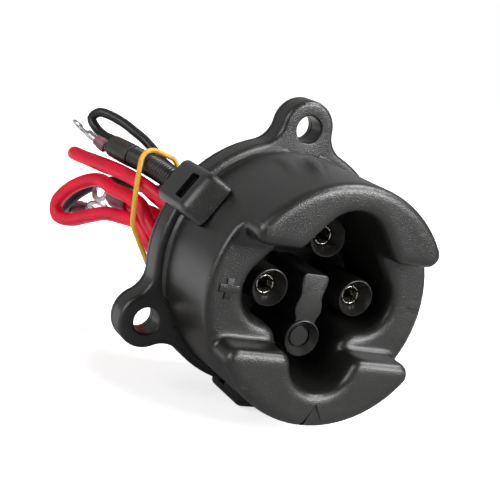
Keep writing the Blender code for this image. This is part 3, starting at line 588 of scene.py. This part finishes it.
def clover(grow=0.0):
    """The keyed cavity's outline: three round bays, and a wide one below."""
    left, low = (-SOCKET_X, 0.0), (0.0, BAY_Z)
    rt, rs, rb = 9.05 + grow, 8.0 + grow, BAY_R - 0.02 + grow
    a = (math.degrees(math.atan2(-SOCKET_TOP, -SOCKET_X))
         - math.degrees(math.acos((rt - rs) / math.hypot(SOCKET_X, SOCKET_TOP)))) % 360
    n = neck(left, rs, low, rb, 5.0 - grow)
    return mirrored([
        (0, SOCKET_TOP, rt, 90, a), (*left, rs, a, around(left, n) % 360),
        (*n, 5.0 - grow, around(n, left), around(n, low)), (*low, rb, around(low, n) % 360, 270)])


def lofted(levels):
    """A closed solid through outlines at several depths: (y, arcs) in mm."""
    bm, ring = bmesh.new(), []
    for y, arcs in levels:
        plate = slab(arcs, y, y + 1, 3)
        bmesh.ops.delete(plate, geom=[v for v in plate.verts if v.co.y > (y + 0.5) * MM], context="VERTS")
        bmesh.ops.delete(plate, geom=plate.faces, context="FACES_ONLY")
        mesh = as_mesh(plate)
        bm.from_mesh(mesh)
        bpy.data.meshes.remove(mesh)
        bm.edges.ensure_lookup_table()
        edges = [e for e in bm.edges if not e.link_faces and e not in ring]
        if ring:
            bmesh.ops.bridge_loops(bm, edges=ring + edges)
        ring = [e for e in bm.edges
                if len(e.link_faces) < 2 and all(abs(v.co.y - y * MM) < 1e-7 for v in e.verts)]
    bmesh.ops.holes_fill(bm, edges=bm.edges, sides=0)
    bmesh.ops.recalc_face_normals(bm, faces=bm.faces)
    return bm


def placed_at(x, z):
    return Matrix.Translation((x * MM, 0, z * MM))


def upright(front, back, x, z, r, steps=64, edge=0.0):
    """A round bar or cutter along Y; edge rounds its front end."""
    nose = bend(r - edge, front + edge, edge, -90, 0, 4) if edge else [(r, front)]
    return turned([(0, front)] + nose + [(r, back), (0, back)], steps, placed_at(x, z))


# the lips' corners are rounds of CORNER_R, at these heights over and under the axis
CORNER_R, TOP_Z, LOW_Z = 3.0, 15.0, -14.7
TOP_BAY_R = 9.07
# the top lip's inner corner lies on the straight side between two bays
SIDE = 142.1
slope = math.radians(SIDE)
wall_d = TOP_BAY_R + SOCKET_TOP * math.sin(slope)
top_inner_x = -(wall_d + CORNER_R - TOP_Z * math.sin(slope)) / math.cos(slope)
low_inner_x = math.sqrt((BAY_R + CORNER_R) ** 2 - (BAY_Z - LOW_Z) ** 2)
low_turn = math.degrees(math.atan2(BAY_Z - LOW_Z, low_inner_x))


def lip_arcs(top, grow=0.0):
    """The top or the bottom lip's outline."""
    z = TOP_Z if top else LOW_Z
    x = math.sqrt((29 - CORNER_R) ** 2 - z ** 2)
    turn = around((0, 0), (-x, z)) % 360
    rim, corner = LIP_R + grow, CORNER_R + grow
    if top:
        return mirrored([
            (0, 0, rim, 90, turn), (-x, z, corner, turn, 270),
            (-top_inner_x, z, corner, 270, SIDE + 180), (0, SOCKET_TOP, TOP_BAY_R - grow, SIDE, 90)])
    return mirrored([
        (0, 0, rim, 270, turn), (-x, z, corner, turn, 90),
        (-low_inner_x, z, corner, 90, low_turn), (0, BAY_Z, BAY_R - grow, 180 + low_turn, 270)])


def cove(top, r=1.0):
    """The inward round at a lip's foot, which runs out at the body's rim."""
    round_on = [(r * (1 - math.cos(math.radians(t))), r * (1 - math.sin(math.radians(t))))
                for t in range(0, 91, 15)]
    ring = lofted([(LAND + 0.6, lip_arcs(top, r))]
                  + [(LAND - high, lip_arcs(top, out)) for high, out in round_on])
    within = turned([(0, LAND - r - 0.2)] + bend(26.9, LAND + 0.85, 2.05, -90, -2, 8)
                    + [(28.95, LAND + 3), (0, LAND + 3)], 120)
    return joined(ring, ("INTERSECT", within))


def melted(bm, grid, rounds):
    """The solid on an even mesh, smoothed, so that its edges run softly together."""
    obj = blank(bm)
    even = obj.modifiers.new("even", "REMESH")
    even.mode, even.voxel_size = "VOXEL", grid * MM
    soft = obj.modifiers.new("soft", "SMOOTH")
    soft.factor, soft.iterations = 0.5, rounds
    return taken(obj)


def gathered(*solids):
    """Solids that don't touch, as one."""
    out = bmesh.new()
    for solid in solids:
        mesh = as_mesh(solid)
        out.from_mesh(mesh)
        bpy.data.meshes.remove(mesh)
    return out


# the body drafts in a little towards its rim, and has a round at the flange
body = turned(
    [(0, LAND)] + bend(27.4, LAND + 1.6, 1.6, -90, 0, 6) + [(29.07, -20), (BODY_R, FLANGE - 1.0)]
    + bend(BODY_R + 1.0, FLANGE - 0.98, 1.0, 180, 90, 5)
    + [(BODY_R + 1.0, BACK - 0.6), (0, BACK - 0.6)], 160)
FLARE, LIP_EDGE = 2.4, 2.3      # rounds at the cavity's mouth and on the lips
flared = [(FLARE * (1 - math.sin(math.radians(t))), FLARE * (1 - math.cos(math.radians(t))))
          for t in range(15, 91, 15)]
mouth = lofted([(FLOOR, clover()), (LAND + FLARE, clover())]
               + [(LAND + deep, clover(out)) for deep, out in flared] + [(LAND - 0.6, clover(FLARE + 0.01))])
lips = [round_rim(slab(lip_arcs(top), LIP, LAND + 3.2, 3), LIP, LIP_EDGE, 6) for top in (True, False)]
body = melted(joined(body, ("UNION", cove(True)), ("UNION", cove(False)), ("DIFFERENCE", mouth),
                     *[("UNION", lip) for lip in lips]), 0.5, 8)
flange = round_rim(slab(flange_arcs(), FLANGE, BACK, 4), FLANGE, 1.3)
hole_edge = 0.5
holes = [turned([(0, FLANGE - 1), (4.1, FLANGE - 1), (EAR_HOLE_R + hole_edge, FLANGE)]
                + bend(EAR_HOLE_R + hole_edge, FLANGE + hole_edge, hole_edge, -90, -180, 4)
                + [(EAR_HOLE_R, 2), (0, 2)], 56, placed_at(ex, ez)) for _, ex, ez in EARS]
# the body is cut back round each screw's seat on its ear
seats = [upright(FLANGE - 2.6, FLANGE + 0.02, ex, ez, 7.3, 72, 1.8) for _, ex, ez in EARS]
posts = [upright(POST, FLOOR + 1, x, z, POST_R, 72, 0.45) for x, z in [*POSTS.values(), (0.0, BLIND_Z)]]


def corners(points):
    """Arcs for an outline of straight lines."""
    return [(x, z, 0, 0, 0) for x, z in points]


# key tab between the posts, waisted, down to the blind post
key = [(2.3, 3.3, 1.2, 90, 0)] + corners([
    (3.5, 2.0), (3.2, 0.4), (2.95, -0.5), (3.05, -1.6), (3.5, -3.0), (3.65, -4.3), (3.35, -5.5),
    (2.85, -6.5), (2.75, -8), (2.75, BLIND_Z)])
tab = round_rim(slab(mirrored(key), POST + 0.5, FLOOR + 1, 15), POST + 0.5, 0.35, 3)
# each post's mouth is a funnel down to its socket, and the blind one's to a plain disc
FUNNEL_R, BORE_R = 4.25, 2.62
mouth_top = [(0, POST - 2), (FUNNEL_R, POST - 2), (FUNNEL_R, POST)]
funnels = [turned(mouth_top + [(BORE_R, RIM + 0.05), (BORE_R, -4.4), (0, -4.4)], 56, placed_at(x, z))
           for x, z in POSTS.values()]
funnels.append(turned(mouth_top + [(2.8, POST + 1.6), (2.8, POST + 2.4), (2.45, POST + 2.4),
                                   (2.45, POST + 1.75), (2.3, POST + 1.6), (0, POST + 1.6)], 56,
                      placed_at(0, BLIND_Z)))


def side_plate(outline, width):
    """A plate whose outline (outward, y) is drawn out across a latch's place."""
    bm = bmesh.new()
    bm.faces.new([bm.verts.new((x * MM, y * MM, -width / 2 * MM)) for x, y in outline])
    return drawn_out(bm, (0, 0, width * MM))


def turned_to(deg, bm):
    """The solid turned about the port's axis, from +X up to the angle."""
    bmesh.ops.rotate(bm, matrix=Matrix.Rotation(math.radians(-deg), 3, "Y"), verts=bm.verts)
    return bm


# wedges that the latch windows snap over
wedges = [turned_to(deg, side_plate([
    (27.6, FLANGE - 1.8), (33.4, FLANGE - 1.8), (33.4, FLANGE - 2.3), (27.6, FLANGE - 4.5)], 5.8))
    for deg in LATCHES]

# raised cross on the left land, groove across the right one, arrow facet on the lower lip
cx, cz, arm, w, high = -24.05, -0.4, 2.45, 0.9, 0.35
cross = [(w, w), (w, arm), (-w, arm), (-w, w), (-arm, w), (-arm, -w), (-w, -w), (-w, -arm), (w, -arm),
         (w, -w), (arm, -w), (arm, w)]
cross = slab(corners([(cx + x, cz + z) for x, z in cross]), LAND - high, LAND + 1)
round_rim(cross, LAND - high, 0.15, 2)
groove = slab(corners([(23.7, -1.4), (31, -1.4), (31, 0.2), (23.7, 0.2)]), LAND - 5, LAND + 0.7)
arrow = slab(corners([(0.85, -23.1), (-1.9, -28.8), (4.4, -28.8)]), LIP - 3, LIP)
for v in arrow.verts:
    if v.co.y > (LIP - 1) * MM:
        v.co.y += (0.5 if v.co.x < 0 else 0.4 if v.co.x < 2 * MM else 0.02) * MM
nick = slab(corners([(1.0, -22.9), (0.7, -22.9), (-2.6, -29.5), (-1.6, -29.5)]), LIP - 1, LIP + 2.7)
arrow = joined(arrow, ("UNION", nick))
housing = joined(
    flange, ("DIFFERENCE", gathered(*holes)), ("UNION", body), ("DIFFERENCE", gathered(*seats)),
    ("UNION", joined(posts[3], ("UNION", tab), ("UNION", gathered(*posts[:3])))),
    ("DIFFERENCE", gathered(*funnels)), ("UNION", gathered(cross, *wedges)),
    ("DIFFERENCE", gathered(groove, arrow)))

nylon = Finish("black_nylon")
cloud, grain = nylon.noise(0.012, 3.0), nylon.noise(0.00026, 1.0)
scuff = nylon.ramp(nylon.noise(0.004, 5.0, (1, 0.25, 2.5)), 0.66, 0.78)
chips = nylon.ramp(nylon.noise(0.0011, 2.0, (1, 0.6, 1.6)), 0.76, 0.80)
chips = chips * nylon.ramp(nylon.noise(0.011, 1.0), 0.5, 0.6)
# the grain is full on the faces that look along the port, and the sides draw smooth
facing = nylon.node("SeparateXYZ", None, {0: nylon.node("TexCoord", out="Normal")}, out="Y")
facing = nylon.ramp(nylon.maths("ABSOLUTE", facing), 0.35, 0.8)
black = nylon.ramp(cloud, 0.3, 0.75)
black = nylon.blend(black, (0.0075, 0.0073, 0.0068, 1), (0.013, 0.0125, 0.0115, 1))
nylon.set(
    Base_Color=nylon.blend(scuff * 0.2 + chips * 0.8, black, (0.16, 0.155, 0.15, 1)),
    Roughness=cloud * 0.08 + scuff * 0.1 + facing * 0.05 + 0.27,
    Normal=nylon.bump(grain * (facing * 0.9 + 0.1), 0.00009, 1.0),
    Specular_IOR_Level=0.65,
)
add_piece("housing_moulding", finished_mesh("housing_moulding", housing, 32), nylon.material,
          "front_housing")


# Rear cover: same nylon, a plate that repeats the flange, a cup over the wire
# ends, and three latch arms that reach forward and snap over wedges on the body.
def flat_box(x0, x1, y0, y1, half):
    """A box between these in mm, that goes half to each side along Z."""
    bm = bmesh.new()
    bmesh.ops.create_cube(bm, size=1, matrix=Matrix.Translation(((x0 + x1) / 2 * MM, (y0 + y1) / 2 * MM, 0))
                          @ Matrix.Diagonal(((x1 - x0) * MM, abs(y1 - y0) * MM, 2 * half * MM, 1)))
    return bm


# an arm's outside, the ridge where its slope starts, and its toe on the body
ARM_R, RIDGE, TOE, ARM_W = 34.6, FLANGE - 8.2, FLANGE - 12.2, 11.6


def latch(deg):
    """Local X is outward, and Z goes across the arm."""
    on_body, in_front = BODY_R + 0.3, FLANGE - 0.3
    bm = side_plate([(28.0, -1.3), (28.0, -0.1), (ARM_R, -0.1), (ARM_R, RIDGE), (on_body, TOE),
                     (on_body, in_front), (32.0, in_front), (32.0, -1.3)], ARM_W)

    def outer(v):
        return v.co.x > (ARM_R - 0.01) * MM or v.co.y < (TOE + 0.01) * MM

    edges = [e for e in bm.edges if all(outer(v) for v in e.verts)
             and not (abs(e.verts[0].co.y - e.verts[1].co.y) < 1e-6
                      and abs(e.verts[0].co.y - RIDGE * MM) > 1e-6)]
    bmesh.ops.bevel(bm, geom=edges, offset=2.0 * MM, segments=6, profile=0.5, affect="EDGES", material=-1)
    window = flat_box(26, 38, FLANGE - 5.6, FLANGE - 1.5, 3.4)
    bmesh.ops.bevel(window, geom=[e for e in window.edges if abs(e.verts[0].co.x - e.verts[1].co.x) > 1e-4],
                    offset=0.5 * MM, segments=3, profile=0.5, affect="EDGES", material=-1)
    return turned_to(deg, joined(bm, ("DIFFERENCE", window)))


PLATE, OUTLET = -1.45, (-10.0, 4.1)
plate = slab(flange_arcs(), PLATE, 0, 4)
round_rim(round_rim(plate, PLATE, 0.3, 2), 0, 0.5, 3)
cup = turned([(0, 14.0)] + bend(19.0, 13.0, 1.0, 90, 0, 4) + [(20.0, -2.0), (21.9, -2.0), (21.98, 0.0)]
             + bend(20.5, 14.5, 1.5, 0, 90, 6) + [(0, 16.0)], 120)
cover = joined(
    plate, ("DIFFERENCE", upright(-5, 5, 0, 0, 21.0, 120)),
    *[("DIFFERENCE", upright(-5, 5, ex, ez, EAR_HOLE_R, 56)) for _, ex, ez in EARS], ("UNION", cup),
    *[("UNION", latch(deg)) for deg in LATCHES], ("DIFFERENCE", upright(5, 30, *OUTLET, 7.9, 64)))
cover_nylon = nylon.material.copy()
cover_nylon.name = "cover_nylon"
add_piece("cover_moulding", finished_mesh("cover_moulding", cover, 32), cover_nylon, "rear_cover")

# Socket contacts: turned brass, silver plated, slit at the mouth into six
# fingers that spring on the plug's pins. Each is pressed into its post.
plated = mottled("plated_brass", (0.0012, 4.0), (0.35, 0.8), ((0.78, 0.75, 0.70), (0.50, 0.44, 0.34)),
                 (0.25, 0.12), (0.0003, 2.0, (1, 0.1, 1)), (0.00002, 0.5), 1.0)
SOCKET_R, COLLAR_R, SLIT = 2.3, 3.7, 8.0
for which, (x, z) in POSTS.items():
    barrel = turned(
        [(0, -8.5), (1.7, -8.5), (1.7, RIM + 1.2), (2.0, RIM + 0.4)]
        + bend(2.17, RIM + 0.17, 0.17, 180, 360, 6) + [(SOCKET_R, -6.1), (COLLAR_R, -6.1), (COLLAR_R, -4.5)]
        + [(SOCKET_R, -4.5), (SOCKET_R, 4.2), (2.0, 4.5), (0, 4.5)], 40)
    slits = [turned_to(deg, flat_box(-4, 4, RIM - 2, RIM + SLIT, 0.25)) for deg in (-90, -30, 30)]
    socket = joined(barrel, *[("DIFFERENCE", slit) for slit in slits])
    for v in socket.verts:
        # the fingers are set a little inward
        pinch = 1 - 0.03 * max(0.0, (RIM + SLIT - v.co.y / MM) / SLIT)
        v.co.x, v.co.z = v.co.x * pinch + x * MM, v.co.z * pinch + z * MM
    add_piece("socket_" + which, finished_mesh("socket_" + which, socket), plated, "contact_" + which)

# Cable grommet: soft black rubber plug in the shell's outlet, with one hole for
# the sheath and one for the red wire.
rubber = mottled("black_rubber", (0.003, 4.0), (0.3, 0.8), ((0.010, 0.010, 0.010), (0.028, 0.027, 0.026)),
                 (0.2, 0.55), (0.0005, 3.0), (0.00005, 0.6))
plug = turned([(0, 12.5), (8.3, 12.5), (8.5, 12.7), (8.5, 13.7), (7.6, 13.7), (7.6, 16.3), (8.3, 16.3),
               (8.5, 16.5)] + bend(6.6, 18.0, 1.0, 20, 90, 4) + [(0, 19.0)], 56, placed_at(*OUTLET))
plug = joined(plug, ("DIFFERENCE", upright(0, 40, -9.8, 7.3, 3.55, 36)),
              ("DIFFERENCE", upright(0, 40, -11.2, 0.5, 2.45, 36)))
add_piece("grommet_rubber", finished_mesh("grommet_rubber", plug), rubber, "cable_grommet")


# Soft studio light: one box in front on the right, one high on the right, and
# a weak one on the left.
for name, place, size, power in (
        ("key", (0.36, -0.66, 0.40), 0.36, 11), ("top", (0.36, -0.10, 0.72), 0.35, 6),
        ("left", (-0.80, -0.05, 0.35), 0.5, 4)):
    light = bpy.data.lights.new(name, "AREA")
    light.shape, light.size, light.energy = "SQUARE", size, power
    lamp = bpy.data.objects.new(name, light)
    bpy.context.scene.collection.objects.link(lamp)
    lamp.location = place
    lamp.rotation_euler = (-Vector(place)).to_track_quat("-Z", "Y").to_euler()

# Pale floor just under the object. To the camera it glows up to white away from
# the object, so that only a faint shadow shows, and its front side is dim in
# what is glossy.
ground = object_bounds()[0].z - 0.0002
bm = bmesh.new()
bmesh.ops.create_circle(bm, cap_ends=True, segments=96, radius=3.0,
                        matrix=Matrix.Translation((0, 0, ground)))
mesh = as_mesh(bm, "floor")
floor = bpy.data.objects.new("floor", mesh)
bpy.context.scene.collection.objects.link(floor)


def eased(finish, value, start, end):
    """0 before start and 1 past end, with a soft step between them."""
    return finish.node("MapRange", {"interpolation_type": "SMOOTHSTEP"},
                       {"Value": value, "From Min": start, "From Max": end})


pale = Finish("pale_floor")
place = pale.node("TexCoord", out="Object")
in_front = eased(pale, pale.node("SeparateXYZ", None, {0: place}, out="Y"), 0.05, -0.05)
dim = pale.node("LightPath", out="Is Glossy Ray") * in_front
pale.set(Base_Color=pale.blend(dim, (0.86, 0.86, 0.86, 1), (0.24, 0.24, 0.24, 1)), Roughness=0.9,
         Specular_IOR_Level=0.1)
far = eased(pale, pale.node("VectorMath", {"operation": "LENGTH"}, {0: place}, out=1), 0.05, 0.17)
seen = pale.node("LightPath", out="Is Camera Ray")
glow = pale.node("Emission", None, {"Color": (1, 1, 1, 1), "Strength": seen * (far * 0.3 + 0.7)})
both = pale.node("AddShader", None, {0: Value(pale, pale.surface.outputs[0]), 1: glow})
pale.join(both, pale.tree.nodes["Material Output"].inputs["Surface"])
mesh.materials.append(pale.material)


# White backdrop. It shows in what is glossy too, and the side behind the
# camera is dim there, as a studio is.
class Room(Finish):
    """The world's shader nodes."""

    def __init__(self, world):
        world.use_nodes = True
        self.tree = world.node_tree


bpy.context.scene.world = bpy.data.worlds.new("studio")
room = Room(bpy.context.scene.world)
back = room.node("SeparateXYZ", None, {0: room.node("TexCoord", out="Generated")}, out="Y")
back = eased(room, back, -0.1, 0.6)
white = room.node("LightPath", out="Is Glossy Ray") * (back * 0.34 + 0.03)
for kind in ("Is Camera Ray", "Is Transmission Ray"):
    white = room.maths("MAXIMUM", white, room.node("LightPath", out=kind))
surface = room.tree.nodes["Background"]
surface.inputs["Color"].default_value = (1, 1, 1, 1)
room.join(room.maths("MAXIMUM", white, 0.04), surface.inputs["Strength"])

bpy.context.scene.view_settings.view_transform = "Standard"
